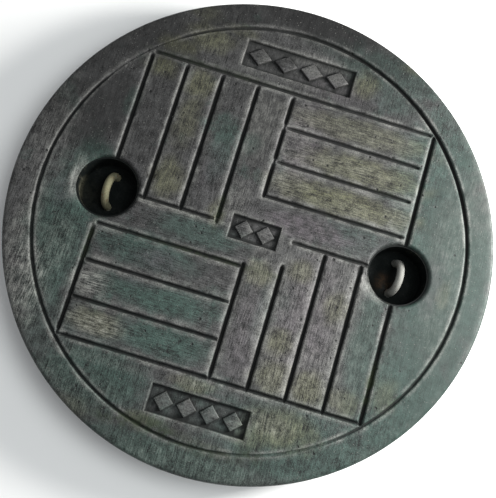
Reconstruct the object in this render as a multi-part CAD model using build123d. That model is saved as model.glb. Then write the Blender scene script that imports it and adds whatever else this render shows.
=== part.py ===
from build123d import *
from math import sqrt
import os

# Round pavement manhole cover, cast in steel-fibre concrete around a cage of bars.
# Millimetres. The origin is the middle of the underside, +Z is up through the walked-on face,
# +X points through the right-hand lifting pocket, and +Y towards the longer recessed panel.

# Driving dimensions
COVER_RADIUS = 300.0
THICKNESS = 60.0
TOP_ROUND = 5.0
FOOT_CHAMFER = 3.0

GROOVE_WIDTH = 8.0
GROOVE_FLOOR = 3.6
GROOVE_DEPTH = 4.5
RING_GROOVE_RADIUS = 265.0
PATTERN_HALF = 185.0
BARS_PER_BLOCK = 4
BAR_PITCH = PATTERN_HALF / BARS_PER_BLOCK

PANEL_DEPTH = 4.0
PANEL_DRAFT = 12.0
PANEL_MARGIN = 4.0
LOZENGE_TALL = 24.0
LOZENGE_RELIEF = 3.5
LOZENGE_GAP = 3.0

POCKET_MOUTH_RADIUS = 38.0
POCKET_LIP_ROUND = 5.0
CUP_WALL = 1.8
CUP_BOTTOM_Z = 19.0
CUP_CORNER = 9.0
CUP_RIM_SETBACK = 0.5
CUP_RIM_Z = THICKNESS - POCKET_LIP_ROUND - CUP_RIM_SETBACK

LOOP_ROD = 10.0
LOOP_ARCH_RADIUS = 19.5
LOOP_FOOT_BEND = 11.0
LOOP_FOOT_REACH = 58.0
LOOP_FOOT_Z = 12.0
LOOP_LEG_RISE = 1.0
LOOP_LEAN = 12.0
LOOP_TURN = {"left": 0.0, "right": 1.0}
LOOP_SHIFT = {"left": (3.5, 3.0), "right": (-1.0, 2.0)}

BAR_DIAMETER = 8.0
MAIN_BAR_Z = 14.0
BAR_GAP = 0.4
CROSS_BAR_Z = MAIN_BAR_Z + BAR_DIAMETER + BAR_GAP
HOOP_RADIUS = 278.0
MAIN_BAR_PLACES = [-225.0, -150.0, -75.0, 0.0, 75.0, 150.0, 225.0]
CROSS_BAR_PLACES = [-238.0, -130.0, -65.0, 0.0, 65.0, 130.0, 238.0]
BAR_END_GAP = 3.0

PANELS = {
    "far": {"middle": (-4.0, 220.0), "size": (144.0, 37.0), "lozenges": 4},
    "middle": {"middle": (2.0, -1.5), "size": (62.0, 31.0), "lozenges": 2},
    "near": {"middle": (-1.0, -224.5), "size": (120.0, 34.0), "lozenges": 4},
}
SIDES = {"left": -1, "right": 1}


def straight_groove(start, end):
    """Cutter for a groove with sloping walls between two points of the top face."""
    run = Vector(*end) - Vector(*start)
    section = Polyline(
        (-GROOVE_WIDTH / 2, 0),
        (-GROOVE_FLOOR / 2, -GROOVE_DEPTH),
        (GROOVE_FLOOR / 2, -GROOVE_DEPTH),
        (GROOVE_WIDTH / 2, 0),
        close=True,
    )
    across = Plane(origin=(start[0], start[1], THICKNESS), x_dir=(-run.Y, run.X, 0), z_dir=run)
    return extrude(across * make_face(section), amount=run.length)


def ring_groove():
    """Cutter for the round groove that frames the pattern."""
    section = Polyline(
        (RING_GROOVE_RADIUS - GROOVE_WIDTH / 2, THICKNESS),
        (RING_GROOVE_RADIUS - GROOVE_FLOOR / 2, THICKNESS - GROOVE_DEPTH),
        (RING_GROOVE_RADIUS + GROOVE_FLOOR / 2, THICKNESS - GROOVE_DEPTH),
        (RING_GROOVE_RADIUS + GROOVE_WIDTH / 2, THICKNESS),
        close=True,
    )
    return revolve(Plane.XZ * make_face(section), Axis.Z)


def weave_block():
    """Grooves of one quarter of the basket weave: three between its bars and one across their ends."""
    between_bars = [
        straight_groove((-BAR_PITCH * n, 0), (-BAR_PITCH * n, PATTERN_HALF))
        for n in range(1, BARS_PER_BLOCK)
    ]
    across_ends = straight_groove((-PATTERN_HALF, 0), (-BAR_PITCH + GROOVE_WIDTH / 2, 0))
    return between_bars + [across_ends]


def pattern_grooves():
    """All the straight grooves: four weave blocks a quarter turn apart inside a square outline."""
    cutters = []
    reach = PATTERN_HALF + GROOVE_WIDTH / 2
    side = straight_groove((-reach, PATTERN_HALF), (reach, PATTERN_HALF))
    for quarter in range(4):
        turn = Rot(0, 0, 90 * quarter)
        cutters += [turn * groove for groove in weave_block()]
        cutters.append(turn * side)
    return cutters


def panel_recess(panel):
    """Cutter for a shallow sunk panel, its walls sloping, less the raised lozenges left standing in it."""
    wide, tall = panel["size"]
    place = Pos(*panel["middle"], THICKNESS)
    recess = place * extrude(Rectangle(wide, tall), amount=-PANEL_DEPTH, taper=PANEL_DRAFT)
    pitch = (wide - 2 * PANEL_MARGIN) / panel["lozenges"]
    first = -pitch * (panel["lozenges"] - 1) / 2
    half_wide = (pitch - LOZENGE_GAP) / 2
    half_tall = LOZENGE_TALL / 2
    outline = Polyline(
        (-half_wide, 0), (0, half_tall), (half_wide, 0), (0, -half_tall), close=True
    )
    lozenge = extrude(make_face(outline), amount=LOZENGE_RELIEF, taper=PANEL_DRAFT)
    for n in range(panel["lozenges"]):
        recess -= place * Pos(first + pitch * n, 0, -PANEL_DEPTH) * lozenge
    return recess


def slab_blank():
    """The plain disc: straight rim wall, rounded top edge and a small chamfer at the foot."""
    start = (COVER_RADIUS - FOOT_CHAMFER, 0)
    foot = (COVER_RADIUS, FOOT_CHAMFER)
    shoulder = (COVER_RADIUS, THICKNESS - TOP_ROUND)
    brow = (COVER_RADIUS - TOP_ROUND, THICKNESS)
    outline = [
        Polyline((0, THICKNESS), (0, 0), start, foot, shoulder),
        RadiusArc(shoulder, brow, -TOP_ROUND),
        Line(brow, (0, THICKNESS)),
    ]
    return revolve(Plane.XZ * make_face(outline), Axis.Z)


def pocket_mouth(side):
    """Cutter for the round mouth above the cup's rim, widening in a quarter-round lip."""
    lip = (POCKET_MOUTH_RADIUS, THICKNESS - POCKET_LIP_ROUND)
    brow = (POCKET_MOUTH_RADIUS + POCKET_LIP_ROUND, THICKNESS)
    outline = [
        Polyline((0, THICKNESS), (0, CUP_RIM_Z), (POCKET_MOUTH_RADIUS, CUP_RIM_Z), lip),
        RadiusArc(lip, brow, POCKET_LIP_ROUND),
        Line(brow, (0, THICKNESS)),
    ]
    mouth = revolve(Plane.XZ * make_face(outline), Axis.Z)
    return Pos(SIDES[side] * PATTERN_HALF, 0, 0) * mouth


def cup_form(radius, bottom_z, corner):
    """Solid of revolution up to the cup's rim, with a round corner at its bottom."""
    turn_in = (radius - corner, bottom_z)
    turn_up = (radius, bottom_z + corner)
    outline = [
        Polyline((0, CUP_RIM_Z), (0, bottom_z), turn_in),
        RadiusArc(turn_in, turn_up, -corner),
        Polyline(turn_up, (radius, CUP_RIM_Z), (0, CUP_RIM_Z)),
    ]
    return revolve(Plane.XZ * make_face(outline), Axis.Z)


def pocket_cup(side):
    """Moulded cup left in the concrete as the pocket's lining, pierced by the loop's legs."""
    outside = cup_form(POCKET_MOUTH_RADIUS, CUP_BOTTOM_Z, CUP_CORNER)
    inside = cup_form(POCKET_MOUTH_RADIUS - CUP_WALL, CUP_BOTTOM_Z + CUP_WALL, CUP_CORNER - CUP_WALL)
    return Pos(SIDES[side] * PATTERN_HALF, 0, 0) * (outside - inside)


def lifting_loop(side):
    """Round rod bent to a hat: an arch in the pocket, and two feet spread out under the cup."""
    leg_foot = (LOOP_ARCH_RADIUS, LOOP_FOOT_BEND)
    leg_top = (LOOP_ARCH_RADIUS, LOOP_FOOT_BEND + LOOP_LEG_RISE)
    foot_turn = (LOOP_ARCH_RADIUS + LOOP_FOOT_BEND, 0)
    foot_end = (LOOP_FOOT_REACH, 0)
    mirrored = [(-u, v) for u, v in (foot_end, foot_turn, leg_foot, leg_top)]
    route = Wire(
        [
            Line(mirrored[0], mirrored[1]),
            RadiusArc(mirrored[1], mirrored[2], -LOOP_FOOT_BEND),
            Line(mirrored[2], mirrored[3]),
            RadiusArc(mirrored[3], leg_top, LOOP_ARCH_RADIUS),
            Line(leg_top, leg_foot),
            RadiusArc(leg_foot, foot_turn, -LOOP_FOOT_BEND),
            Line(foot_turn, foot_end),
        ]
    )
    end_section = Plane(origin=mirrored[0], z_dir=(1, 0, 0)) * Circle(LOOP_ROD / 2)
    flat_loop = sweep(end_section, path=route)
    upright = Plane(origin=(0, 0, 0), x_dir=(0, 1, 0), z_dir=(1, 0, 0))
    lean = Rot(0, SIDES[side] * LOOP_LEAN, 0)
    shift_x, shift_y = LOOP_SHIFT[side]
    foot_place = Pos(SIDES[side] * PATTERN_HALF + shift_x, shift_y, LOOP_FOOT_Z)
    return foot_place * Rot(0, 0, LOOP_TURN[side]) * lean * (upright * flat_loop)


def bar_length(offset):
    """Longest straight bar at this distance from the middle that stops short of the hoop."""
    end_radius = HOOP_RADIUS - BAR_DIAMETER / 2 - BAR_END_GAP
    return 2 * sqrt(end_radius**2 - (abs(offset) + BAR_DIAMETER / 2) ** 2)


def main_bar(offset):
    """Bar of the lower layer, along X."""
    length = bar_length(offset)
    return Pos(0, offset, MAIN_BAR_Z) * Rot(0, 90, 0) * Cylinder(BAR_DIAMETER / 2, length)


def cross_bar(offset):
    """Bar of the upper layer, along Y, lying on the main bars."""
    length = bar_length(offset)
    return Pos(offset, 0, CROSS_BAR_Z) * Rot(90, 0, 0) * Cylinder(BAR_DIAMETER / 2, length)


def edge_hoop():
    """Ring bar round the ends of the main bars."""
    return Pos(0, 0, MAIN_BAR_Z) * Torus(HOOP_RADIUS, BAR_DIAMETER / 2)


def cast_slab(steel):
    """The concrete: the disc less its surface pattern, its pockets, and the steel that it is cast round."""
    slab = slab_blank()
    slab -= [ring_groove()] + pattern_grooves()
    slab -= [panel_recess(panel) for panel in PANELS.values()]
    cup_seat = cup_form(POCKET_MOUTH_RADIUS, CUP_BOTTOM_Z, CUP_CORNER)
    for side in SIDES:
        slab -= pocket_mouth(side)
        slab -= Pos(SIDES[side] * PATTERN_HALF, 0, 0) * cup_seat
    for piece in steel:
        slab -= piece
    return slab


def build_nodes():
    """Every piece of the cover by name."""
    nodes = {}
    for side in SIDES:
        loop = lifting_loop(side)
        nodes[f"lifting_loop_{side}"] = loop
        nodes[f"pocket_cup_{side}"] = pocket_cup(side) - loop
    nodes["edge_hoop_bar"] = edge_hoop()
    for number, offset in enumerate(MAIN_BAR_PLACES, start=1):
        nodes[f"main_bar_{number}"] = main_bar(offset)
    for number, offset in enumerate(CROSS_BAR_PLACES, start=1):
        nodes[f"cross_bar_{number}"] = cross_bar(offset)
    steel = [nodes[name] for name in nodes if not name.startswith("pocket_cup")]
    nodes["cover_slab"] = cast_slab(steel)
    return nodes


os.makedirs("parts", exist_ok=True)
for name, shape in build_nodes().items():
    shape.label = name
    export_step(shape, f"parts/{name}.step")
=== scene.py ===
from math import atan2, cos, hypot, pi, radians, sin

import bmesh
import bpy
from mathutils import Matrix, Vector, noise


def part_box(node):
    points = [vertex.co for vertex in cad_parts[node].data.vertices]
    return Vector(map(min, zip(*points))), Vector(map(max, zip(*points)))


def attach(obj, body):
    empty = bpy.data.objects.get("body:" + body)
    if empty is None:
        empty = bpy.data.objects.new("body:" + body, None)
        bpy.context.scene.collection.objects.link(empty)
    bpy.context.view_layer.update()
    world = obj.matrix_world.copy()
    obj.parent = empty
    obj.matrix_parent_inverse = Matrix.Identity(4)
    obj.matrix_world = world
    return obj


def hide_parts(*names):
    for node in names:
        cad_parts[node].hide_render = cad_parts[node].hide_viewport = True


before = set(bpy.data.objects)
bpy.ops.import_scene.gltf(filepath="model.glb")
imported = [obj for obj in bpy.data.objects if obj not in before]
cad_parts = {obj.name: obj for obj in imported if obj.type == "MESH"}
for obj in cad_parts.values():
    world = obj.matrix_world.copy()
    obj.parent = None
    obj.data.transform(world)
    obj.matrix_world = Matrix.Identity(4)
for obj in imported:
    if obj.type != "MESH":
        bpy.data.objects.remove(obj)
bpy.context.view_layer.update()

scene = bpy.context.scene

# ---------------------------------------------------------------------------------------------
# Cover slab
# One casting of dark steel-fibre concrete, poured face down in a smooth mould, so the grooves,
# panels and lips are moulded edges that traffic and handling have worn round. Dirt sits in the
# grooves, with painted shade there and in the panel corners, and patches of painted shade and
# painted light lie on the face. It is the whole body of the cover, and everything else is cast
# into it.
# ---------------------------------------------------------------------------------------------

slab_low, slab_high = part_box("cover_slab")
face_z = slab_high.z
rim_radius = (slab_high.x - slab_low.x) / 2
cup_low, cup_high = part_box("pocket_cup_right")
pocket_x = (cup_low.x + cup_high.x) / 2
cup_radius = (cup_high.x - cup_low.x) / 2

pattern_half = pocket_x
bar_pitch = pattern_half / 4
ring_groove_radius = 0.265
deep_groove = 0.0046
cross_groove = 0.0036
# sunk panels: middle, width, height and how many lozenges stand in each
panels = [
    (-0.004, 0.220, 0.144, 0.037, 4),
    (0.002, -0.0015, 0.062, 0.031, 2),
    (-0.001, -0.2245, 0.120, 0.034, 4),
]
panel_depth = 0.0038
panel_wall = 0.0016
clip_radius = 0.2585
lip_radius = cup_radius + 0.0052
lip_square = 0.0405
lip_blend = 0.0050

# how deep the ring groove was left at points round the cover: degrees from +X, and metres
ring_depths = [
    (0, 0.0036), (40, 0.0044), (80, 0.0040), (105, 0.0034), (122, 0.0026), (131, 0.0006), (146, 0.0005),
    (153, 0.0026), (185, 0.0036), (222, 0.0034), (255, 0.0028), (274, 0.0022), (284, 0.0011), (303, 0.0012),
    (316, 0.0027), (360, 0.0036),
]
# the straight grooves from end to end, in units of one bar's pitch: some stop short of their neighbours
straight_grooves = [
    (-3, 0, -3, 3.84), (-2, 0, -2, 3.86), (-1, -0.05, -1, 3.85), (-3.2, 0, -1.14, 0), (-3.92, 4, 3.90, 4),
    (-3.92, -1, 0, -1), (-3.90, -2, -0.13, -2),
    (-3.90, -3, -0.13, -3), (0, -0.95, 0, -4), (-4, 3.86, -4, 0.8),
    (-4, -1.16, -4, -4), (1, -0.72, 1, -4), (2, -0.12, 2, -4), (3, -0.10, 3, -4), (1.10, 0, 3.2, 0),
    (-4, -4, 3.92, -4), (0, 1, 0, 3.80), (0.06, 1, 3.80, 1), (0.07, 2, 3.78, 2), (0.07, 3, 3.80, 3),
    (4, 3.96, 4, 0.8), (4, -0.8, 4, -4),
]
# where mortar has filled a crossing: millimetres across the face, spread, and what is left of the depth
fillings = [
    (0, 139, 4.5, 0.35), (0, 92, 4.5, 0.35), (-46, -1, 4, 0.6), (0, -184, 4, 0.6), (-185, -184, 5, 0.6),
]


def smooth_step(low, high, value):
    t = min(max((value - low) / (high - low), 0.0), 1.0)
    return t * t * (3 - 2 * t)


def ring_depth(angle):
    """Depth of the ring groove at an angle in degrees."""
    for (a0, d0), (a1, d1) in zip(ring_depths, ring_depths[1:]):
        if a0 <= angle <= a1:
            return d0 + (d1 - d0) * smooth_step(a0, a1, angle)
    return ring_depths[0][1]


def groove_here(x, y, wander):
    """Depth of cut at a point, the full depth of the groove it belongs to, and the distance past its lip."""
    angle = atan2(y, x) * 180 / pi % 360
    found = [(abs(hypot(x, y) - ring_groove_radius), ring_depth(angle))]
    left = 1.0
    for cx, cy, spread, kept in fillings:
        gap = hypot(x * 1000 - cx, y * 1000 - cy) / spread
        if gap < 1.4:
            left = min(left, kept + (1 - kept) * smooth_step(0.6, 1.4, gap))
    here = Vector((x, y)) / bar_pitch
    for x0, y0, x1, y1 in straight_grooves:
        start, run = Vector((x0, y0)), Vector((x1 - x0, y1 - y0))
        t = min(max((here - start).dot(run) / run.length_squared, 0.0), 1.0)
        away = (here - start - run * t).length * bar_pitch
        if away < 0.012:
            found.append((away, (deep_groove if x0 == x1 else cross_groove) * left))
    best_cut, best_depth, nearest = 0.0, deep_groove, 1.0
    for away, depth in found:
        lip = 0.0014 + 0.55 * depth
        cut = depth * (1 - smooth_step(0.12 * depth, lip, away + wander))
        if cut > best_cut:
            best_cut, best_depth = cut, depth
        nearest = min(nearest, away + wander - lip)
    return best_cut, best_depth, nearest


lozenge_half_tall = 0.012
lozenges = [
    (mid_x + (wide - 0.008) / count * (n - (count - 1) / 2), mid_y, ((wide - 0.008) / count - 0.003) / 2)
    for mid_x, mid_y, wide, tall, count in panels
    for n in range(count)
]


def lozenge_gap(x, y):
    """Distance from the nearest raised lozenge's edge; negative on the lozenge."""
    nearest = 1.0
    for mid_x, mid_y, half_wide in lozenges:
        over = abs(x - mid_x) / half_wide + abs(y - mid_y) / lozenge_half_tall - 1
        nearest = min(nearest, over * half_wide * lozenge_half_tall / hypot(half_wide, lozenge_half_tall))
    return nearest


def panel_inset(x, y):
    """How far a point lies inside the nearest panel's edge; negative outside."""
    return max(
        min(wide / 2 - abs(x - mid_x), tall / 2 - abs(y - mid_y))
        for mid_x, mid_y, wide, tall, _ in panels
    )


# lips of the pockets that hooks have worn wider: pocket side, direction in degrees, spread and depth
worn_lips = [(-1, 180, 64, 0.0026), (1, 222, 58, 0.0028)]


def lip_wear(x, y):
    """How far the nearest pocket's lip is worn down at a point, from 0 to 1, and the depth of that."""
    for side, direction, spread, depth in worn_lips:
        off_x, off_y = x - side * pocket_x, y
        past_lip = hypot(off_x, off_y) - lip_radius
        if past_lip < 0.008:
            turn = abs((atan2(off_y, off_x) * 180 / pi - direction + 180) % 360 - 180)
            worn = smooth_step(spread, spread * 0.35, turn) * smooth_step(0.0042, -0.0030, past_lip)
            return worn, depth
    return 0.0, 0.0


def face_shape(x, y):
    """Drop of the face below the highest point, how much dirt and painted shade darken it, and how worn it is
    there.
    """
    place = Vector((x, y, 0)) * 1000
    wander = 0.0004 * noise.noise(place / 21) + 0.00025 * noise.noise(place / 6)
    cut, deep, past_lip = groove_here(x, y, wander)
    inset = panel_inset(x, y) + wander
    sunk = smooth_step(-0.0004, panel_wall, inset)
    drop = max(cut * (0.93 + 0.14 * noise.noise(place / 50)), sunk * panel_depth)
    waves = 0.00026 * noise.noise(place / 38) + 0.00016 * noise.noise(place / 11)
    chips = 0.0010 * max(0.0, noise.noise(place / 4.5) - 0.30) * smooth_step(0.0035, 0.0002, past_lip)
    lips = smooth_step(-0.0022, -0.0002, past_lip) * smooth_step(0.0040, 0.0004, past_lip)
    lips *= min(deep / 0.003, 1)
    rubbed, rubbed_depth = lip_wear(x, y)
    drop += rubbed * rubbed_depth
    wear = max(
        lips,
        0.95 * rubbed,
        smooth_step(-0.0030, -0.0004, inset) * smooth_step(0.0009, 0.0, inset),
        0.16 * smooth_step(rim_radius - 0.012, rim_radius - 0.004, hypot(x, y)),
    )
    # dirt in the groove floors, with painted shade; painted shade also darkens the panels' inner edges and
    # round the lozenges' feet
    in_groove = smooth_step(0.30, 0.70, cut / deep) * smooth_step(0.0006, 0.0022, deep)
    in_corner = max(smooth_step(0.0064, 0.0030, inset), smooth_step(0.0026, 0.0008, lozenge_gap(x, y)))
    in_groove *= 0.84 if deep < 0.0037 else 1.0
    dirt_and_painted_shade = max(in_groove, (0.15 + 0.8 * in_corner) * smooth_step(0.25, 1.0, sunk))
    return 0.0004 + drop + waves + chips, dirt_and_painted_shade, wear


# patches of stain, scuffs, painted light and painted shade on the face, in millimetres: middle, half width,
# half height and strength
stain_and_shade_patches = {
    "olive": [
        (95, 66, 92, 17, 1.0), (110, 112, 78, 18, 0.85), (95, 160, 90, 16, 0.60), (30, 70, 34, 16, 0.5),
        (-118, 160, 22, 20, 0.75), (-118, 110, 16, 36, 0.55),
        (-120, 32, 22, 26, 0.7), (-170, 168, 20, 14, 0.8),
        (-158, 203, 26, 12, 0.8), (-122, 224, 34, 18, 0.7),
        (-84, 246, 24, 9, 0.5), (-140, 257, 24, 13, 0.45),
        (66, -122, 18, 18, 0.8), (72, -162, 24, 20, 0.8),
        (114, -165, 20, 22, 0.95), (122, -62, 15, 20, 0.65),
        (70, -32, 17, 14, 0.65), (22, -48, 18, 16, 0.7),
        (158, -166, 24, 16, 0.55), (96, -218, 44, 24, 0.75),
        (66, -238, 22, 12, 0.5), (-16, -197, 28, 9, 0.7),
        (-148, -160, 32, 14, 0.85), (84, 224, 16, 18, 0.7),
        (-150, -262, 26, 16, 0.45), (-50, 8, 10, 16, 0.6), (136, 264, 16, 8, 0.5), (-60, -250, 26, 8, 0.5),
        (206, -146, 16, 22, 0.45), (243, -10, 9, 18, 0.35),
    ],
    "green": [
        (246, 0, 70, 150, 1.0), (205, 120, 60, 120, 0.9),
        (150, -235, 150, 60, 0.9), (165, -92, 19, 90, 0.9),
        (236, -150, 80, 110, 1.0), (-222, -70, 40, 110, 1.0),
        (-118, -62, 66, 22, 0.95), (-80, -112, 78, 20, 1.0),
        (-66, -158, 62, 22, 1.0), (-62, -22, 58, 18, 0.8), (-214, 22, 26, 36, 1.0), (-66, 88, 15, 44, 0.65),
        (-34, 104, 14, 14, 0.6), (-190, 112, 10, 22, 0.6), (128, 30, 26, 22, 0.6), (40, -92, 12, 40, 0.6),
        (60, -75, 12, 22, 0.45), (-128, -222, 70, 44, 1.0),
        (-20, -282, 130, 22, 1.0), (120, 250, 80, 30, 0.7),
        (128, 212, 40, 16, 0.5), (-196, -180, 40, 40, 0.4), (152, 128, 16, 10, 0.5), (60, 260, 60, 16, 0.3),
    ],
    "mauve": [
        (28, 118, 30, 62, 0.7), (70, 22, 70, 16, 0.75), (88, -95, 40, 84, 0.75), (30, -120, 24, 60, 0.5),
        (44, 150, 40, 14, 0.5), (-100, -68, 28, 12, 0.55),
        (-110, -98, 30, 8, 0.45), (-232, -20, 14, 22, 0.4),
        (228, 0, 14, 40, 0.35), (-70, 60, 14, 30, 0.3), (60, 205, 60, 14, 0.35), (-250, -130, 20, 40, 0.4),
    ],
    # scuffs, partly painted light: some patches brighten the face where more light falls, and one paints the
    # highlight on the left pocket's lip
    "pale": [
        (-246, -142, 34, 60, 1.0), (-218, -84, 22, 40, 0.45),
        (96, -92, 90, 100, 0.30), (26, 70, 26, 14, 0.55),
        (22, 118, 20, 60, 0.45), (-28, 130, 20, 50, 0.55), (-30, 32, 14, 26, 0.5), (166, 68, 20, 20, 0.55),
        (100, -152, 66, 40, 0.55), (60, -60, 34, 50, 0.40),
        (-168, -118, 26, 18, 0.95), (-150, -162, 38, 13, 0.95),
        (-100, -4, 90, 5, 0.75), (24, 236, 46, 9, 0.45),
        (-262, -96, 18, 90, 0.55), (-246, 40, 10, 60, 0.25),
        (96, 112, 60, 10, 0.45), (100, 62, 50, 10, 0.45), (-14, -196, 30, 6, 0.7), (16, -262, 40, 8, 0.5),
        (-226, 4, 8, 30, 0.9), (152, -24, 12, 14, 0.6), (236, 60, 26, 70, 0.35), (262, 120, 30, 60, 0.3),
        (-124, -200, 60, 8, 0.35), (-275, 60, 20, 70, 0.3), (0, -284, 130, 16, 0.30),
        (-150, -245, 70, 34, 0.28), (18, -40, 14, 30, 0.4), (84, -216, 28, 12, 0.6),
        (100, 158, 80, 12, 0.3), (246, -30, 26, 70, 0.3),
    ],
    # painted shade: the face is made darker over the top rim and the upper left, where less light falls
    "painted_shade": [
        (10, 292, 130, 40, 1.0), (-120, 268, 90, 46, 0.9),
        (-200, 215, 80, 64, 0.95), (-262, 130, 56, 90, 0.75),
        (-222, 96, 44, 80, 0.85), (-160, 110, 26, 100, 0.55),
        (-92, 100, 60, 100, 0.35), (-236, -50, 30, 50, 0.25),
        (-110, -60, 90, 60, 0.26), (-150, -236, 80, 46, 0.35),
        (-70, -236, 60, 40, 0.20), (-130, -276, 80, 30, 0.50),
        (110, 262, 80, 36, 0.8), (-60, 160, 70, 40, 0.35),
        (-66, -30, 60, 20, 0.20), (-200, 10, 40, 46, 0.30),
        (60, 205, 110, 36, 0.45), (70, 140, 90, 60, 0.32), (-60, 226, 80, 30, 0.4), (0, -284, 120, 22, 0.2),
        (185, 205, 40, 60, 0.3), (-28, 110, 26, 80, 0.35), (90, 140, 100, 56, 0.30), (0, 300, 150, 44, 1.0),
        (20, 285, 90, 26, 1.2), (100, 70, 110, 60, 0.26), (212, 92, 20, 60, 0.2), (-216, 80, 24, 60, 0.9),
    ],
    "smooth": [
        (262, 0, 84, 240, 1.0), (165, -92, 19, 90, 0.6), (-28, 130, 18, 60, 0.5), (10, 292, 160, 36, 0.5),
        (-222, 96, 40, 80, 0.5), (-230, 230, 90, 90, 0.4),
    ],
    "moss": [
        (185, -140, 6, 30, 0.9), (-60, -256, 60, 10, 0.7), (20, -264, 60, 8, 0.5), (-185, -70, 5, 26, 0.5),
        (-46, 10, 5, 26, 0.6), (74, -254, 16, 8, 0.6), (-100, 188, 90, 4, 0.4), (-40, -46, 90, 4, 0.5),
    ],
}


def stain_and_shade_strength(kind, x, y):
    """Strength of one kind of patch at a point (a stain, scuff, painted light or painted shade), its patches'
    edges broken by noise.
    """
    place = Vector((x, y, 0)) * 1000
    ragged = 0.30 * noise.noise(place / 16) + 0.16 * noise.noise(place / 6)
    strongest = 0.0
    for cx, cy, half_wide, half_tall, strength in stain_and_shade_patches[kind]:
        off_x, off_y = (place.x - cx) / half_wide, (place.y - cy) / half_tall
        if abs(off_x) < 1.7 and abs(off_y) < 1.7:
            strongest = max(strongest, strength * smooth_step(1.35, 0.45, hypot(off_x, off_y) + ragged))
    return strongest


def along_y(x, y):
    """Which way the bar under a point runs: 1 along Y, 0 along X."""
    if max(abs(x), abs(y)) > pattern_half:
        return 1.0
    return 1.0 if x * y < 0 else 0.0


def line_places(groove_places, edge_places, close_spans, reach):
    """Grid lines: packed across grooves and panel walls, close near the pockets, and wide elsewhere."""
    across = (0.0, 0.0006, 0.0012, 0.0018, 0.0025, 0.0033, 0.0043)
    fine = [c + side * n for c in groove_places for n in across for side in (-1, 1)]
    fine += [e + n * 0.0007 for e in edge_places for n in range(-2, 3)]
    fine += [middle + side * lip_square for middle in close_spans for side in (-1, 1)]
    near = [middle + n * lip_square / 22 for middle in close_spans for n in range(-28, 29)]
    wide = [reach * n / 52 for n in range(-52, 53)]
    kept = sorted(set(round(place, 6) for place in fine))
    for place, gap in [(p, 0.0013) for p in near] + [(p, 0.0032) for p in wide]:
        if min(abs(place - other) for other in kept) >= gap:
            kept.append(place)
    kept.sort()
    spaced = [kept[0]]
    for place in kept[1:]:
        if place - spaced[-1] > 0.0003:
            spaced.append(place)
    return spaced


groove_lines = [bar_pitch * n for n in range(-4, 5)]
reach = clip_radius * 1.02
x_edges = [mid_x + side * wide / 2 for mid_x, _, wide, _, _ in panels for side in (-1, 1)]
y_edges = [mid_y + side * tall / 2 for _, mid_y, _, tall, _ in panels for side in (-1, 1)]
x_lines = line_places(groove_lines, x_edges, (-pocket_x, pocket_x), reach)
y_lines = line_places(groove_lines, y_edges, (0.0,), reach)

slab = bmesh.new()
bmesh.ops.create_grid(slab, x_segments=len(x_lines) - 1, y_segments=len(y_lines) - 1, size=1.0)
for v in slab.verts:
    column = round((v.co.x + 1) / 2 * (len(x_lines) - 1))
    row = round((v.co.y + 1) / 2 * (len(y_lines) - 1))
    v.co = (x_lines[column], y_lines[row], face_z)

# the middle disc inside the ring groove is trimmed round
outside = [f for f in slab.faces if min(v.co.xy.length for v in f.verts) > clip_radius * 1.005]
bmesh.ops.delete(slab, geom=outside, context="FACES")
rim_faces = [f for f in slab.faces if max(v.co.xy.length for v in f.verts) > clip_radius * 0.985]
trim = set(rim_faces)
for f in rim_faces:
    trim.update(f.edges)
    trim.update(f.verts)
sides = 240
for n in range(sides):
    outward = Vector((cos(2 * pi * n / sides), sin(2 * pi * n / sides), 0))
    cut = bmesh.ops.bisect_plane(
        slab,
        geom=list(trim),
        plane_co=outward * clip_radius * cos(pi / sides),
        plane_no=outward,
        clear_outer=True,
    )
    trim = set(cut["geom"])

# each pocket's square of grid is opened and drawn out to a circle
for side in (-1, 1):
    middle = Vector((side * pocket_x, 0, face_z))
    inside = []
    for f in slab.faces:
        off = f.calc_center_median() - middle
        if max(abs(off.x), abs(off.y)) < lip_square - 0.00001:
            inside.append(f)
    bmesh.ops.delete(slab, geom=inside, context="FACES")
    for v in slab.verts:
        off = v.co - middle
        square = max(abs(off.x), abs(off.y))
        if square < lip_square + lip_blend:
            blend = smooth_step(0, lip_blend, square - lip_square)
            round_place = off.normalized() * (lip_radius + square - lip_square)
            v.co = middle + off * blend + round_place * (1 - blend)


def open_edges(mesh, low, high, middle=Vector((0, 0, 0))):
    """Edges of the holes and rims whose distance from an upright axis lies between low and high."""
    return [
        e
        for e in mesh.edges
        if e.is_boundary and low < ((e.verts[0].co + e.verts[1].co) / 2 - middle).xy.length < high
    ]


def grow(mesh, loop, steps, middle=Vector((0, 0, 0))):
    """Extrudes a closed loop of edges through rings of the given radius and height."""
    for radius, height in steps:
        made = bmesh.ops.extrude_edge_only(mesh, edges=loop)["geom"]
        fresh = set(g for g in made if isinstance(g, bmesh.types.BMVert))
        loop = [g for g in made if isinstance(g, bmesh.types.BMEdge) and set(g.verts) <= fresh]
        for v in fresh:
            out = (v.co - middle).xy.normalized()
            v.co = (middle.x + out.x * radius, middle.y + out.y * radius, height)
    return loop


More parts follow.
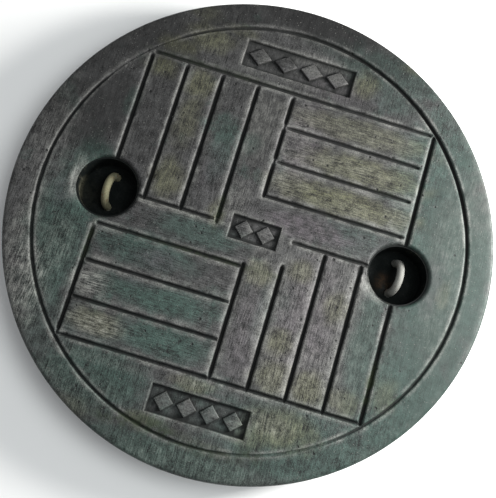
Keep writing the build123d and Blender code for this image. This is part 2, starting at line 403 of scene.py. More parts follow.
# the ring groove, the outer band, the rounded top edge, the rim wall and the underside
top_round = 0.005
foot_chamfer = 0.003
outer_loop = open_edges(slab, clip_radius * 0.98, clip_radius * 1.02)
for e in outer_loop:
    for v in e.verts:
        v.co.xy = v.co.xy.normalized() * clip_radius
across_ring = (0.0006, 0.0012, 0.0019, 0.0026, 0.0034, 0.0045)
groove_steps = [-n for n in reversed(across_ring)] + [0] + list(across_ring)
groove_rows = [(ring_groove_radius + n, face_z) for n in groove_steps]
band_rows = [(radius, face_z) for radius in (0.2725, 0.277, 0.283, 0.289, rim_radius - top_round)]
edge_rows = [
    (rim_radius - top_round + top_round * sin(a), face_z - top_round + top_round * cos(a) - 0.0004)
    for a in (radians(22), radians(45), radians(68), radians(90))
]
wall_rows = [(rim_radius, 0.042), (rim_radius, 0.028), (rim_radius, 0.014), (rim_radius, foot_chamfer)]
foot_rows = [(rim_radius - foot_chamfer * 0.2, foot_chamfer * 0.55), (rim_radius - foot_chamfer, 0.0)]
foot_rows += [(rim_radius - 0.008, 0.0)]
outer_loop = grow(slab, outer_loop, groove_rows + band_rows + edge_rows + wall_rows + foot_rows)

under_ring = bmesh.ops.create_circle(slab, segments=120, radius=rim_radius - 0.02)["verts"]
under_loop = [e for e in slab.edges if e.verts[0] in under_ring and e.verts[1] in under_ring]
bmesh.ops.bridge_loops(slab, edges=outer_loop + under_loop)
under_rows = [(rim_radius * k, 0.0) for k in (0.85, 0.75, 0.62, 0.48, 0.34, 0.2, 0.08)]
under_loop = grow(slab, under_loop, under_rows)
bmesh.ops.contextual_create(slab, geom=under_loop)

# the pockets: a worn round lip down to the cup's rim, then the socket that the cup sits in
lip_round = 0.005
seat_gap = 0.0004
for side in (-1, 1):
    middle = Vector((side * pocket_x, 0, 0))
    loop = open_edges(slab, lip_radius * 0.97, lip_radius * 1.03, middle)
    lip_rows = [
        (cup_radius + lip_round - lip_round * sin(a), face_z - lip_round + lip_round * cos(a))
        for a in (radians(12), radians(30), radians(50), radians(70), radians(90))
    ]
    socket_rows = [(cup_radius, cup_high.z), (cup_radius + seat_gap, cup_high.z - 0.0005)]
    socket_rows += [(cup_radius + seat_gap, 0.036), (cup_radius + seat_gap, cup_low.z - seat_gap)]
    loop = grow(slab, loop, lip_rows + socket_rows, middle)
    bmesh.ops.contextual_create(slab, geom=loop)

# worn, slightly wavy surfaces, with the dirt and painted shade, wear, stains and patches of painted light and
# shade kept for the material
mask_names = ("dirt_and_painted_shade", "wear", "streaks_up", "trowelled", *stain_and_shade_patches)
layers = {name: slab.verts.layers.float.new(name) for name in mask_names}
for v in slab.verts:
    for kind in stain_and_shade_patches:
        v[layers[kind]] = stain_and_shade_strength(kind, v.co.x, v.co.y)
    v[layers["streaks_up"]] = along_y(v.co.x, v.co.y)
    if v.co.z > face_z - lip_round * 1.02:
        drop, v[layers["dirt_and_painted_shade"]], v[layers["wear"]] = face_shape(v.co.x, v.co.y)
        v.co.z = min(v.co.z, face_z - drop)
    elif v.co.xy.length > rim_radius - 0.006:
        v.co.xy *= 1 - 0.0007 * (1 + noise.noise(v.co * 22))
        # darker towards the bottom of the rim wall
        v[layers["dirt_and_painted_shade"]] = 0.35 * smooth_step(0.03, 0.0, v.co.z)
        v[layers["wear"]] = 0.15
    elif v.co.z < 0.001:
        v.co.z += 0.0005 * (1 + noise.noise(v.co * 16))
        v[layers["trowelled"]] = 1.0
        for kind in stain_and_shade_patches:
            v[layers[kind]] = 0.0
    else:
        # painted shade: the socket walls inside the pockets are darkened
        v[layers["dirt_and_painted_shade"]] = 0.7

# the lozenges that stand in the panels, a little lower than the face
lozenge_top = 0.0034
floor_z = face_z - panel_depth - 0.0004
for mid_x, mid_y, half_wide in lozenges:
    made = bmesh.ops.create_cone(
        slab, cap_ends=True, segments=4, radius1=1.07, radius2=0.92, depth=lozenge_top + 0.001
    )["verts"]
    bmesh.ops.scale(slab, vec=(half_wide, lozenge_half_tall, 1), verts=made)
    bmesh.ops.translate(slab, vec=(mid_x, mid_y, floor_z + (lozenge_top - 0.001) / 2), verts=made)
    crown = [e for e in slab.edges if e.verts[0] in made and e.verts[1] in made]
    shape = bmesh.ops.bevel(
        slab, geom=crown, offset=0.0009, segments=3, profile=0.5, affect="EDGES", material=-1
    )
    for v in set(shape["verts"]) | set(v for v in made if v.is_valid):
        for kind in stain_and_shade_patches:
            v[layers[kind]] = stain_and_shade_strength(kind, v.co.x, v.co.y)
        v[layers["wear"]] = smooth_step(floor_z, floor_z + lozenge_top, v.co.z) * 0.5
        # painted shade: darker towards each lozenge's foot
        v[layers["dirt_and_painted_shade"]] = 0.95 * smooth_step(floor_z + lozenge_top * 0.8, floor_z, v.co.z)

bmesh.ops.recalc_face_normals(slab, faces=slab.faces)
slab_mesh = bpy.data.meshes.new("concrete_slab")
slab.to_mesh(slab_mesh)
slab.free()
slab_mesh.shade_smooth()
slab_mesh.set_sharp_from_angle(angle=radians(48))
concrete_slab = bpy.data.objects.new("concrete_slab", slab_mesh)
scene.collection.objects.link(concrete_slab)
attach(concrete_slab, "root")
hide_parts("cover_slab")


def add(tree, kind, inputs=None, **settings):
    """Places a node, sets its options, and links or sets its inputs."""
    made = tree.nodes.new(kind)
    for name, value in settings.items():
        setattr(made, name, value)
    for name, value in (inputs or {}).items():
        if isinstance(value, bpy.types.NodeSocket):
            tree.links.new(value, made.inputs[name])
        else:
            made.inputs[name].default_value = value
    return made


def maths(tree, operation, a, b=0.0, clamp=False):
    return add(tree, "ShaderNodeMath", {0: a, 1: b}, operation=operation, use_clamp=clamp).outputs[0]


def blend_colours(tree, amount, first, second, way="MIX"):
    """Colour mix: sockets or plain colours, by an amount from 0 to 1."""
    mix = add(tree, "ShaderNodeMix", {0: amount}, data_type="RGBA", blend_type=way)
    for socket, value in ((mix.inputs[6], first), (mix.inputs[7], second)):
        if isinstance(value, bpy.types.NodeSocket):
            tree.links.new(value, socket)
        else:
            socket.default_value = (*value, 1)
    return mix.outputs[2]


def ranged(tree, value, low, high, out_low=0.0, out_high=1.0):
    """Smooth ramp of a value between two levels."""
    ramp = add(
        tree,
        "ShaderNodeMapRange",
        {"Value": value, "From Min": low, "From Max": high, "To Min": out_low, "To Max": out_high},
        interpolation_type="SMOOTHSTEP",
    )
    return ramp.outputs["Result"]


def new_group(name, inputs, outputs):
    """An empty shader node group with its sockets; returns the group and its two end nodes."""
    tree = bpy.data.node_groups.new(name, "ShaderNodeTree")
    for socket, kind in inputs:
        tree.interface.new_socket(name=socket, in_out="INPUT", socket_type=kind)
    for socket, kind in outputs:
        tree.interface.new_socket(name=socket, in_out="OUTPUT", socket_type=kind)
    return tree, tree.nodes.new("NodeGroupInput"), tree.nodes.new("NodeGroupOutput")


def make_patches():
    """Soft-edged blotches of a given size in millimetres, as stains and damp patches make."""
    tree, given, result = new_group(
        "stain_patches",
        [("Place", "NodeSocketVector"), ("Shift", "NodeSocketVector"), ("Size", "NodeSocketFloat"),
         ("Cover", "NodeSocketFloat"), ("Softness", "NodeSocketFloat")],
        [("Mask", "NodeSocketFloat")],
    )
    shifts = {0: given.outputs["Place"], 1: given.outputs["Shift"]}
    moved = add(tree, "ShaderNodeVectorMath", shifts, operation="ADD")
    per_mm = maths(tree, "DIVIDE", 1.0, given.outputs["Size"])
    cloud = add(
        tree, "ShaderNodeTexNoise",
        {"Vector": moved.outputs[0], "Scale": per_mm, "Detail": 5.0, "Roughness": 0.62, "Distortion": 0.4},
    )
    level = maths(tree, "SUBTRACT", 0.72, maths(tree, "MULTIPLY", given.outputs["Cover"], 0.44))
    over = maths(tree, "SUBTRACT", cloud.outputs["Fac"], level)
    soft = maths(tree, "DIVIDE", over, given.outputs["Softness"])
    mask = maths(tree, "ADD", soft, 0.5, clamp=True)
    tree.links.new(mask, result.inputs["Mask"])
    return tree


def make_cast_grain():
    """The close texture of cement: mottling, sandy grain, brushed streaks, air pits and fibre ends."""
    tree, given, result = new_group(
        "cement_grain",
        [("Place", "NodeSocketVector"), ("Streaks Up", "NodeSocketFloat")],
        [(name, "NodeSocketFloat") for name in ("Mottle", "Grain", "Streaks", "Pits", "Flecks")],
    )
    place = given.outputs["Place"]
    mottle = add(
        tree, "ShaderNodeTexNoise", {"Vector": place, "Scale": 0.085, "Detail": 6.0, "Roughness": 0.66}
    )
    grain = add(
        tree, "ShaderNodeTexNoise", {"Vector": place, "Scale": 0.75, "Detail": 4.0, "Roughness": 0.7}
    )
    brushed = []
    for squeeze in ((0.06, 0.70, 0.5), (0.70, 0.06, 0.5)):
        drawn = add(tree, "ShaderNodeMapping", {"Vector": place, "Scale": squeeze})
        lines = add(
            tree, "ShaderNodeTexNoise",
            {"Vector": drawn.outputs[0], "Scale": 1.0, "Detail": 5.0, "Roughness": 0.72, "Distortion": 0.25},
        )
        brushed.append(lines.outputs["Fac"])
    streaks = add(tree, "ShaderNodeMix", {0: given.outputs["Streaks Up"], 2: brushed[0], 3: brushed[1]})
    wobble = add(tree, "ShaderNodeTexNoise", {"Vector": place, "Scale": 0.3, "Detail": 2.0})
    bent_place = add(
        tree,
        "ShaderNodeVectorMath",
        {0: wobble.outputs["Color"], 1: (2.4, 2.4, 2.4), 2: place},
        operation="MULTIPLY_ADD",
    ).outputs[0]
    holes = add(tree, "ShaderNodeTexVoronoi", {"Vector": bent_place, "Scale": 0.105, "Randomness": 1.0})
    size = add(tree, "ShaderNodeSeparateColor", {"Color": holes.outputs["Color"]})
    radius = maths(tree, "MULTIPLY", maths(tree, "POWER", size.outputs["Red"], 4.0), 0.24)
    across_pit = maths(tree, "DIVIDE", holes.outputs["Distance"], maths(tree, "ADD", radius, 0.012))
    pits = maths(tree, "SUBTRACT", 1.0, across_pit)
    grit = add(tree, "ShaderNodeTexVoronoi", {"Vector": place, "Scale": 0.42, "Randomness": 1.0})
    flecks = ranged(tree, grit.outputs["Distance"], 0.30, 0.12)
    rare = add(tree, "ShaderNodeSeparateColor", {"Color": grit.outputs["Color"]})
    flecks = maths(tree, "MULTIPLY", flecks, ranged(tree, rare.outputs["Green"], 0.72, 0.95))
    for name, value in (
        ("Mottle", mottle.outputs["Fac"]),
        ("Grain", grain.outputs["Fac"]),
        ("Streaks", streaks.outputs[0]),
        ("Pits", maths(tree, "MAXIMUM", pits, 0.0)),
        ("Flecks", flecks),
    ):
        tree.links.new(value, result.inputs[name])
    return tree


stain_patches = make_patches()
cement_grain = make_cast_grain()


def new_material(name):
    material = bpy.data.materials.new(name)
    material.use_nodes = True
    material.node_tree.nodes.clear()
    return material, material.node_tree


def place_in_mm(tree):
    where = add(tree, "ShaderNodeTexCoord")
    return add(
        tree, "ShaderNodeVectorMath", {0: where.outputs["Object"], "Scale": 1000.0}, operation="SCALE"
    ).outputs[0]


def finish_material(tree, colour, roughness, height=None, metallic=None, specular=0.5):
    """Joins the worked-out colour, roughness and height (in millimetres) to a Principled surface."""
    surface = add(tree, "ShaderNodeBsdfPrincipled", {"Base Color": colour, "Roughness": roughness})
    surface.inputs["Specular IOR Level"].default_value = specular
    if metallic is not None:
        tree.links.new(metallic, surface.inputs["Metallic"])
    if height is not None:
        bump = add(tree, "ShaderNodeBump", {"Height": height, "Distance": 0.001, "Strength": 1.0})
        tree.links.new(bump.outputs[0], surface.inputs["Normal"])
    end = add(tree, "ShaderNodeOutputMaterial")
    tree.links.new(surface.outputs[0], end.inputs[0])


# slab concrete: cool charcoal grey with patches of green-grey, mauve-grey and olive stain, pale scuffs
# with some painted light, painted shade over the top and upper left, chalky worn lips, fine streaks
# along the bars, air pits, and near-black earth with painted shade and moss in the grooves
plain_grey = (0.0300, 0.0298, 0.0296)
green_grey = (0.0208, 0.0368, 0.0308)
mauve_grey = (0.0445, 0.0375, 0.0428)
olive_stain = (0.0560, 0.0568, 0.0320)
scuff_and_highlight_grey = (0.115, 0.115, 0.104)
worn_grey = (0.208, 0.208, 0.194)
raw_cement = (0.118, 0.115, 0.104)
damp_cement = (0.064, 0.065, 0.060)
earth_and_shade_black = (0.0032, 0.0038, 0.0035)
moss = (0.014, 0.021, 0.008)


def add_up(tree, *values):
    total = values[0]
    for value in values[1:]:
        total = maths(tree, "ADD", total, value)
    return total


def patches(tree, place, shift, size, cover, softness):
    given = {"Place": place, "Shift": shift, "Size": size, "Cover": cover, "Softness": softness}
    return add(tree, "ShaderNodeGroup", given, node_tree=stain_patches).outputs["Mask"]


def painted(tree, name):
    """A mask kept on the slab's mesh."""
    return add(tree, "ShaderNodeAttribute", attribute_name=name).outputs["Fac"]


def times(tree, *values):
    product = values[0]
    for value in values[1:]:
        product = maths(tree, "MULTIPLY", product, value)
    return product


concrete, tree = new_material("slab_concrete")
place = place_in_mm(tree)
streaks_up = painted(tree, "streaks_up")
close = add(tree, "ShaderNodeGroup", {"Place": place, "Streaks Up": streaks_up}, node_tree=cement_grain).outputs
broken = ranged(tree, close["Mottle"], 0.34, 0.60, 0.45, 1.0)
calm = maths(tree, "SUBTRACT", 1.0, times(tree, painted(tree, "smooth"), 0.72))
colour = blend_colours(tree, patches(tree, place, (40, 10, 3), 70.0, 0.14, 0.14), plain_grey, green_grey)
colour = blend_colours(tree, times(tree, painted(tree, "green"), 0.95), colour, green_grey)
colour = blend_colours(tree, times(tree, painted(tree, "mauve"), broken), colour, mauve_grey)
olive = times(tree, painted(tree, "olive"), ranged(tree, close["Streaks"], 0.34, 0.6, 0.62, 1.0), 0.95)
colour = blend_colours(tree, olive, colour, olive_stain)
trowelled = painted(tree, "trowelled")
sweep_place = add(
    tree, "ShaderNodeMapping", {"Vector": place, "Rotation": (0, 0, 0.5), "Scale": (0.004, 0.075, 0.1)}
)
sweeps = add(
    tree,
    "ShaderNodeTexNoise",
    {"Vector": sweep_place.outputs[0], "Scale": 1.0, "Detail": 5.0, "Roughness": 0.6, "Distortion": 0.9},
).outputs["Fac"]
raw = blend_colours(tree, ranged(tree, sweeps, 0.36, 0.64), raw_cement, damp_cement)
colour = blend_colours(tree, trowelled, colour, raw)
# pale scuffs with painted highlights
scuffs_and_highlights = times(
    tree, painted(tree, "pale"), ranged(tree, close["Streaks"], 0.38, 0.64, 0.25, 1.0), broken, 0.75
)
colour = blend_colours(tree, scuffs_and_highlights, colour, scuff_and_highlight_grey)
uneven = add_up(
    tree,
    ranged(tree, close["Mottle"], 0.32, 0.68, -0.34, 0.38),
    ranged(tree, close["Streaks"], 0.34, 0.66, -0.50, 0.58),
    ranged(tree, close["Grain"], 0.32, 0.68, -0.56, 0.62),
    ranged(tree, patches(tree, place, (12, 71, 8), 9.0, 0.45, 0.20), 0.0, 1.0, -0.14, 0.18),
    ranged(tree, patches(tree, place, (55, 9, 31), 24.0, 0.45, 0.14), 0.0, 1.0, -0.13, 0.18),
)
# painted shade: the shade patches take up to 60% off the face's colour, with random mottle on top
shade = times(
    tree,
    add_up(tree, 1.0, times(tree, uneven, calm)),
    maths(tree, "SUBTRACT", 1.0, times(tree, painted(tree, "painted_shade"), 0.60)),
)
tone = add(tree, "ShaderNodeCombineColor", {"Red": shade, "Green": shade, "Blue": shade}).outputs[0]
colour = blend_colours(tree, 1.0, colour, tone, way="MULTIPLY")
worn = times(
    tree,
    painted(tree, "wear"),
    patches(tree, place, (61, 7, 90), 24.0, 0.40, 0.30),
    ranged(tree, close["Grain"], 0.36, 0.6, 0.3, 1.0),
    maths(tree, "SUBTRACT", 0.85, times(tree, painted(tree, "painted_shade"), 0.55)),
)
colour = blend_colours(tree, worn, colour, worn_grey)
colour = blend_colours(tree, times(tree, close["Flecks"], 0.75), colour, scuff_and_highlight_grey)
mossy = times(tree, painted(tree, "moss"), ranged(tree, close["Mottle"], 0.35, 0.6))
# dirt, with painted shade in the grooves, the panel corners and round the lozenges
dirt_and_shade = maths(
    tree, "MULTIPLY", painted(tree, "dirt_and_painted_shade"), ranged(tree, close["Mottle"], 0.2, 0.5, 0.80, 1.0), clamp=True
)
colour = blend_colours(tree, dirt_and_shade, colour, earth_and_shade_black)
colour = blend_colours(tree, mossy, colour, moss)
pit_mask = maths(tree, "MINIMUM", times(tree, close["Pits"], 3.0), 1.0)
colour = blend_colours(tree, times(tree, pit_mask, 0.85), colour, earth_and_shade_black)
height = add_up(
    tree,
    times(tree, close["Mottle"], 0.55),
    times(tree, close["Grain"], 0.30),
    times(tree, close["Streaks"], 0.16),
    times(tree, close["Pits"], -0.9),
    times(tree, close["Flecks"], 0.14),
    times(tree, trowelled, sweeps, 2.2),
)
rough = add_up(
    tree,
    ranged(tree, close["Mottle"], 0.3, 0.7, 0.60, 0.44),
    times(tree, scuffs_and_highlights, 0.25),
    times(tree, dirt_and_shade, 0.35),
    times(tree, painted(tree, "olive"), 0.12),
)
finish_material(tree, colour, rough, times(tree, height, calm), specular=0.26)
slab_mesh.materials.append(concrete)

# ---------------------------------------------------------------------------------------------
# Pocket cups
# Thin black moulded cups that shaped the lifting pockets and stayed in the concrete. They are
# smooth inside, filmed with cement and road dust, and have silt lying in the bottom. A patch of
# painted light lies low on the left cup's wall, and the right cup's cement smear is painted paler
# as a highlight.
# ---------------------------------------------------------------------------------------------

cup_black = (0.0030, 0.0042, 0.0040)
cement_film_and_glow = (0.085, 0.082, 0.056)
grey_film_and_highlight = (0.120, 0.122, 0.112)
silt = (0.0030, 0.0044, 0.0040)
washed_rust = (0.060, 0.034, 0.018)


def near_spot(tree, place, middle, reach, edge):
    """1 at a place on the piece, given in millimetres, falling to 0 over its edge."""
    gap = add(tree, "ShaderNodeVectorMath", {0: place, 1: middle}, operation="DISTANCE").outputs["Value"]
    return ranged(tree, gap, reach + edge, reach)


cup_plastic, tree = new_material("cup_plastic")
place = place_in_mm(tree)
close = add(tree, "ShaderNodeGroup", {"Place": place, "Streaks Up": 0.5}, node_tree=cement_grain).outputs
height_up = add(tree, "ShaderNodeSeparateXYZ", {"Vector": place}).outputs["Z"]
run_down = add(tree, "ShaderNodeMapping", {"Vector": place, "Scale": (0.35, 0.35, 0.05)})
drips = add(
    tree, "ShaderNodeTexNoise", {"Vector": run_down.outputs[0], "Scale": 1.0, "Detail": 4.0, "Roughness": 0.6}
).outputs["Fac"]
film = times(tree, ranged(tree, drips, 0.52, 0.74), patches(tree, place, (3, 8, 2), 30.0, 0.40, 0.3), 0.5)
# painted light: a patch of cement colour low on the left pocket's wall, where light falls into the pocket
painted_wall_glow = near_spot(tree, place, (-212, -8, 28), 6, 20)
painted_wall_glow = times(tree, painted_wall_glow, ranged(tree, close["Mottle"], 0.36, 0.62), 0.8)
# a smear of cement film on the right pocket's lower-left wall, painted paler as a highlight
film_smear_and_highlight = near_spot(tree, place, (158, -24, 46), 6, 18)
film_smear_and_highlight = times(tree, film_smear_and_highlight, ranged(tree, close["Mottle"], 0.36, 0.56))
colour = blend_colours(tree, film, cup_black, cement_film_and_glow)
colour = blend_colours(tree, painted_wall_glow, colour, cement_film_and_glow)
colour = blend_colours(tree, film_smear_and_highlight, colour, grey_film_and_highlight)
rust_wash = near_spot(tree, place, (176, -6, 26), 6, 14)
rust_wash = times(tree, rust_wash, ranged(tree, close["Mottle"], 0.35, 0.6), 0.7)
colour = blend_colours(tree, rust_wash, colour, washed_rust)
lying = times(tree, ranged(tree, height_up, 27.0, 21.0), ranged(tree, close["Mottle"], 0.3, 0.6, 0.35, 1.0))
colour = blend_colours(tree, times(tree, lying, maths(tree, "SUBTRACT", 1.0, rust_wash)), colour, silt)
filmed_and_glowing = maths(tree, "MAXIMUM", maths(tree, "MAXIMUM", film, painted_wall_glow), maths(tree, "MAXIMUM", film_smear_and_highlight, lying))
height = add_up(tree, times(tree, filmed_and_glowing, 0.15), times(tree, lying, close["Grain"], 0.8))
rough = add_up(tree, 0.55, times(tree, filmed_and_glowing, 0.35))
finish_material(tree, colour, rough, height, specular=0.12)

for side in ("left", "right"):
    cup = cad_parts[f"pocket_cup_{side}"]
    cup.data.materials.clear()
    cup.data.materials.append(cup_plastic)

# ---------------------------------------------------------------------------------------------
# Lifting loops
# Round mild-steel rod, bent cold to an arch with two spread feet, galvanised, and set by hand in
# the wet concrete. Cement has splashed over it, and it rusts where hooks have rubbed it bare.
# ---------------------------------------------------------------------------------------------

rod_radius = 0.005
arch_radius = 0.0195
foot_bend = 0.011
foot_reach = 0.058
foot_z = 0.012
leg_rise = 0.001
loop_lean = radians(12)
loop_turn = {"left": 0.0, "right": radians(1)}
loop_shift = {"left": (0.0035, 0.003), "right": (-0.001, 0.002)}


def bend(mesh, ring, centre, angle, steps):
    """Carries the open end of the rod round a bend in the loop's own plane."""
    made = bmesh.ops.spin(
        mesh, geom=ring, cent=centre, axis=(1, 0, 0), angle=angle, steps=steps, use_duplicate=False
    )
    return made["geom_last"]


def draw_out(mesh, ring, move, steps):
    """Carries the open end of the rod straight on."""
    for _ in range(steps):
        edges = [g for g in ring if isinstance(g, bmesh.types.BMEdge)]
        made = bmesh.ops.extrude_edge_only(mesh, edges=edges)["geom"]
        verts = [g for g in made if isinstance(g, bmesh.types.BMVert)]
        bmesh.ops.translate(mesh, vec=move / steps, verts=verts)
        fresh = set(verts)
        ring = verts + [g for g in made if isinstance(g, bmesh.types.BMEdge) and set(g.verts) <= fresh]
    return ring


def bent_rod(seed):
    """The loop standing upright in the YZ plane, with its feet at height zero."""
    rod = bmesh.new()
    turned = Matrix.Translation((0, -foot_reach, 0)) @ Matrix.Rotation(pi / 2, 4, "X")
    verts = bmesh.ops.create_circle(
        rod, cap_ends=False, segments=28, radius=rod_radius, matrix=turned
    )["verts"]
    first = list(rod.edges)
    ring = verts + first
    straight = Vector((0, foot_reach - arch_radius - foot_bend, 0))
    ring = draw_out(rod, ring, straight, 8)
    ring = bend(rod, ring, (0, -arch_radius - foot_bend, foot_bend), pi / 2, 14)
    ring = draw_out(rod, ring, Vector((0, 0, leg_rise)), 1)
    ring = bend(rod, ring, (0, 0, foot_bend + leg_rise), -pi, 36)
    ring = draw_out(rod, ring, Vector((0, 0, -leg_rise)), 1)
    ring = bend(rod, ring, (0, arch_radius + foot_bend, foot_bend), pi / 2, 14)
    ring = draw_out(rod, ring, straight, 8)
    bmesh.ops.contextual_create(rod, geom=first)
    bmesh.ops.contextual_create(rod, geom=[g for g in ring if isinstance(g, bmesh.types.BMEdge)])
    bmesh.ops.remove_doubles(rod, verts=rod.verts, dist=0.00001)
    bmesh.ops.recalc_face_normals(rod, faces=rod.faces)
    rod.normal_update()
    for v in rod.verts:
        place = v.co * 1000 + Vector((seed, 0, 0))
        dent = 0.00018 * noise.noise(place / 9) - 0.00018
        crust = 0.0006 * max(0.0, noise.noise(place / 4) + 0.15) * smooth_step(0.024, 0.012, v.co.z)
        v.co += v.normal * (dent + crust)
    return rod


dark_rust = (0.045, 0.018, 0.010)
orange_rust = (0.165, 0.066, 0.026)


def make_rust():
    """Rust that starts in spots and spreads, with its colour from orange to dark brown."""
    tree, given, result = new_group(
        "rust",
        [("Place", "NodeSocketVector"), ("Amount", "NodeSocketFloat")],
        [("Mask", "NodeSocketFloat"), ("Colour", "NodeSocketColor"), ("Height", "NodeSocketFloat")],
    )
    spread = add(
        tree, "ShaderNodeTexNoise",
        {"Vector": given.outputs["Place"], "Scale": 0.16, "Detail": 6.0, "Roughness": 0.7, "Distortion": 0.6},
    ).outputs["Fac"]
    scale = add(
        tree, "ShaderNodeTexNoise",
        {"Vector": given.outputs["Place"], "Scale": 0.8, "Detail": 5.0, "Roughness": 0.7},
    ).outputs["Fac"]
    level = maths(tree, "SUBTRACT", 0.80, maths(tree, "MULTIPLY", given.outputs["Amount"], 0.55))
    over = maths(tree, "MULTIPLY", maths(tree, "SUBTRACT", spread, level), 9.0)
    mask = maths(tree, "ADD", over, 0.5, clamp=True)
    colour = blend_colours(tree, ranged(tree, scale, 0.32, 0.68), dark_rust, orange_rust)
    tree.links.new(mask, result.inputs["Mask"])
    tree.links.new(colour, result.inputs["Colour"])
    tree.links.new(maths(tree, "MULTIPLY", scale, mask), result.inputs["Height"])
    return tree


rust = make_rust()
zinc_grey = (0.40, 0.40, 0.38)
dull_zinc = (0.20, 0.205, 0.195)


def fine_noise(tree, place, scale):
    """Grain of a steel surface's film."""
    return add(
        tree, "ShaderNodeTexNoise", {"Vector": place, "Scale": scale, "Detail": 5.0, "Roughness": 0.65}
    ).outputs["Fac"]


def loop_steel(name, cement_colour, cement_cover, rust_amount):
    """Weathered zinc over steel, with dried cement on it and rust breaking through."""
    material, tree = new_material(name)
    place = place_in_mm(tree)
    spangle = add(tree, "ShaderNodeTexVoronoi", {"Vector": place, "Scale": 0.32}).outputs["Color"]
    flake = add(tree, "ShaderNodeSeparateColor", {"Color": spangle}).outputs["Red"]
    fine = fine_noise(tree, place, 0.9)
    colour = blend_colours(tree, maths(tree, "MULTIPLY", flake, 0.7), zinc_grey, dull_zinc)
    cement = patches(tree, place, (11, 4, 2), 12.0, cement_cover, 0.10)
    damp_colour = tuple(0.62 * c for c in cement_colour)
    pale = blend_colours(tree, ranged(tree, fine, 0.3, 0.7), cement_colour, damp_colour)
    colour = blend_colours(tree, cement, colour, pale)
    rusty = add(tree, "ShaderNodeGroup", {"Place": place, "Amount": rust_amount}, node_tree=rust)
    colour = blend_colours(tree, rusty.outputs["Mask"], colour, rusty.outputs["Colour"])
    covered = maths(tree, "MAXIMUM", cement, rusty.outputs["Mask"])
    metallic = maths(tree, "SUBTRACT", 1.0, covered)
    rough = maths(tree, "ADD", 0.42, maths(tree, "MULTIPLY", covered, 0.45))
    height = maths(tree, "ADD", maths(tree, "MULTIPLY", cement, 0.18), maths(tree, "MULTIPLY", fine, 0.12))
    height = maths(tree, "ADD", height, maths(tree, "MULTIPLY", rusty.outputs["Height"], 0.2))
    finish_material(tree, colour, rough, height, metallic)
    return material


loop_finishes = {
    "left": loop_steel("left_loop_steel", (0.165, 0.155, 0.090), 0.90, 0.34),
    "right": loop_steel("right_loop_steel", (0.225, 0.225, 0.205), 0.80, 0.30),
}
for side, way in (("left", -1), ("right", 1)):
    rod = bent_rod(seed=40 * way)
    shift_x, shift_y = loop_shift[side]
    set_in = (
        Matrix.Translation((way * pocket_x + shift_x, shift_y, foot_z))
        @ Matrix.Rotation(loop_turn[side], 4, "Z")
        @ Matrix.Rotation(way * loop_lean, 4, "Y")
    )
    bmesh.ops.transform(rod, matrix=set_in, verts=rod.verts)
    rod_mesh = bpy.data.meshes.new(f"rod_loop_{side}")
    rod.to_mesh(rod_mesh)
    rod.free()
    rod_mesh.shade_smooth()
    rod_mesh.set_sharp_from_angle(angle=radians(50))
    rod_mesh.materials.append(loop_finishes[side])
    rod_loop = bpy.data.objects.new(f"rod_loop_{side}", rod_mesh)
    scene.collection.objects.link(rod_loop)
    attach(rod_loop, "root")
    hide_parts(f"lifting_loop_{side}")

# ---------------------------------------------------------------------------------------------
# Cage bars
# Hot-rolled round bar in two crossing layers inside the hoop that follows the rim. The concrete
# hides all of it. The bars are mill-scaled blue-black with a bloom of storage rust.
# ---------------------------------------------------------------------------------------------

mill_scale = (0.050, 0.052, 0.058)

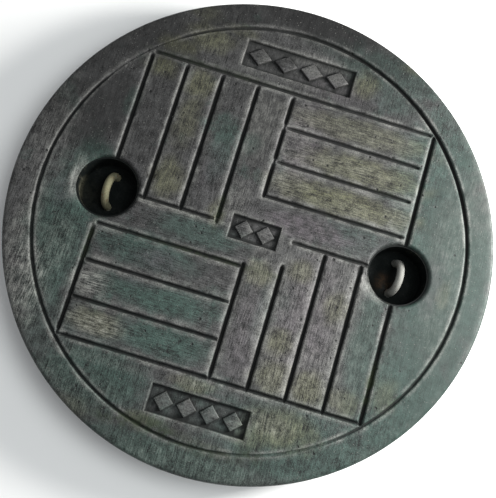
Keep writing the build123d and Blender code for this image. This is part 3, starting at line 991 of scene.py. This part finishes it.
bar_steel, tree = new_material("bar_steel")
place = place_in_mm(tree)
fine = fine_noise(tree, place, 0.5)
rusty = add(tree, "ShaderNodeGroup", {"Place": place, "Amount": 0.62}, node_tree=rust)
worn_scale = tuple(1.9 * c for c in mill_scale)
scale_tone = blend_colours(tree, ranged(tree, fine, 0.3, 0.7), mill_scale, worn_scale)
colour = blend_colours(tree, rusty.outputs["Mask"], scale_tone, rusty.outputs["Colour"])
metallic = maths(tree, "MULTIPLY", maths(tree, "SUBTRACT", 1.0, rusty.outputs["Mask"]), 0.8)
rough = maths(tree, "ADD", 0.45, maths(tree, "MULTIPLY", rusty.outputs["Mask"], 0.4))
height = maths(tree, "ADD", times(tree, fine, 0.08), times(tree, rusty.outputs["Height"], 0.15))
finish_material(tree, colour, rough, height, metallic)

for name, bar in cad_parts.items():
    if "_bar" in name:
        bar.data.materials.clear()
        bar.data.materials.append(bar_steel)

# ---------------------------------------------------------------------------------------------
# Floor, lights and camera
# ---------------------------------------------------------------------------------------------

floor_mesh = bpy.data.meshes.new("floor")
floor_grid = bmesh.new()
bmesh.ops.create_grid(floor_grid, x_segments=1, y_segments=1, size=6.0)
floor_grid.to_mesh(floor_mesh)
floor_grid.free()
floor = bpy.data.objects.new("floor", floor_mesh)
floor_paint, tree = new_material("floor_paint")
finish_material(tree, (0.83, 0.83, 0.82, 1), 0.75, specular=0.2)
floor_mesh.materials.append(floor_paint)
scene.collection.objects.link(floor)

sky = bpy.data.worlds.new("studio")
sky.use_nodes = True
sky.node_tree.nodes["Background"].inputs["Color"].default_value = (0.94, 0.97, 1.0, 1)
sky.node_tree.nodes["Background"].inputs["Strength"].default_value = 0.42
scene.world = sky


def soft_light(name, place, aim, size, power, colour):
    """Square soft box at a place, facing a point."""
    lamp = bpy.data.lights.new(name, "AREA")
    lamp.shape = "SQUARE"
    lamp.size = size
    lamp.energy = power
    lamp.color = colour
    box = bpy.data.objects.new(name, lamp)
    box.location = place
    box.rotation_euler = (Vector(place) - Vector(aim)).to_track_quat("Z", "Y").to_euler()
    scene.collection.objects.link(box)


soft_light("key_soft_box", (0.92, 0.34, 0.50), (0.05, 0.0, 0.05), 0.34, 34.0, (1.0, 0.99, 0.97))
soft_light("overhead_box", (0.66, 0.10, 1.60), (0.20, -0.05, 0.05), 0.9, 16.0, (0.95, 0.99, 1.0))

camera = bpy.data.cameras.new("camera")
camera.lens = 56.75
camera.sensor_width = 36.0
viewpoint = bpy.data.objects.new("camera", camera)
viewpoint.location = (-0.01176, -0.21642, 0.98768)
viewpoint.rotation_euler = (radians(11.0194), radians(-4.0858), radians(16.4967))
scene.collection.objects.link(viewpoint)
scene.camera = viewpoint
scene.view_settings.view_transform = "Standard"
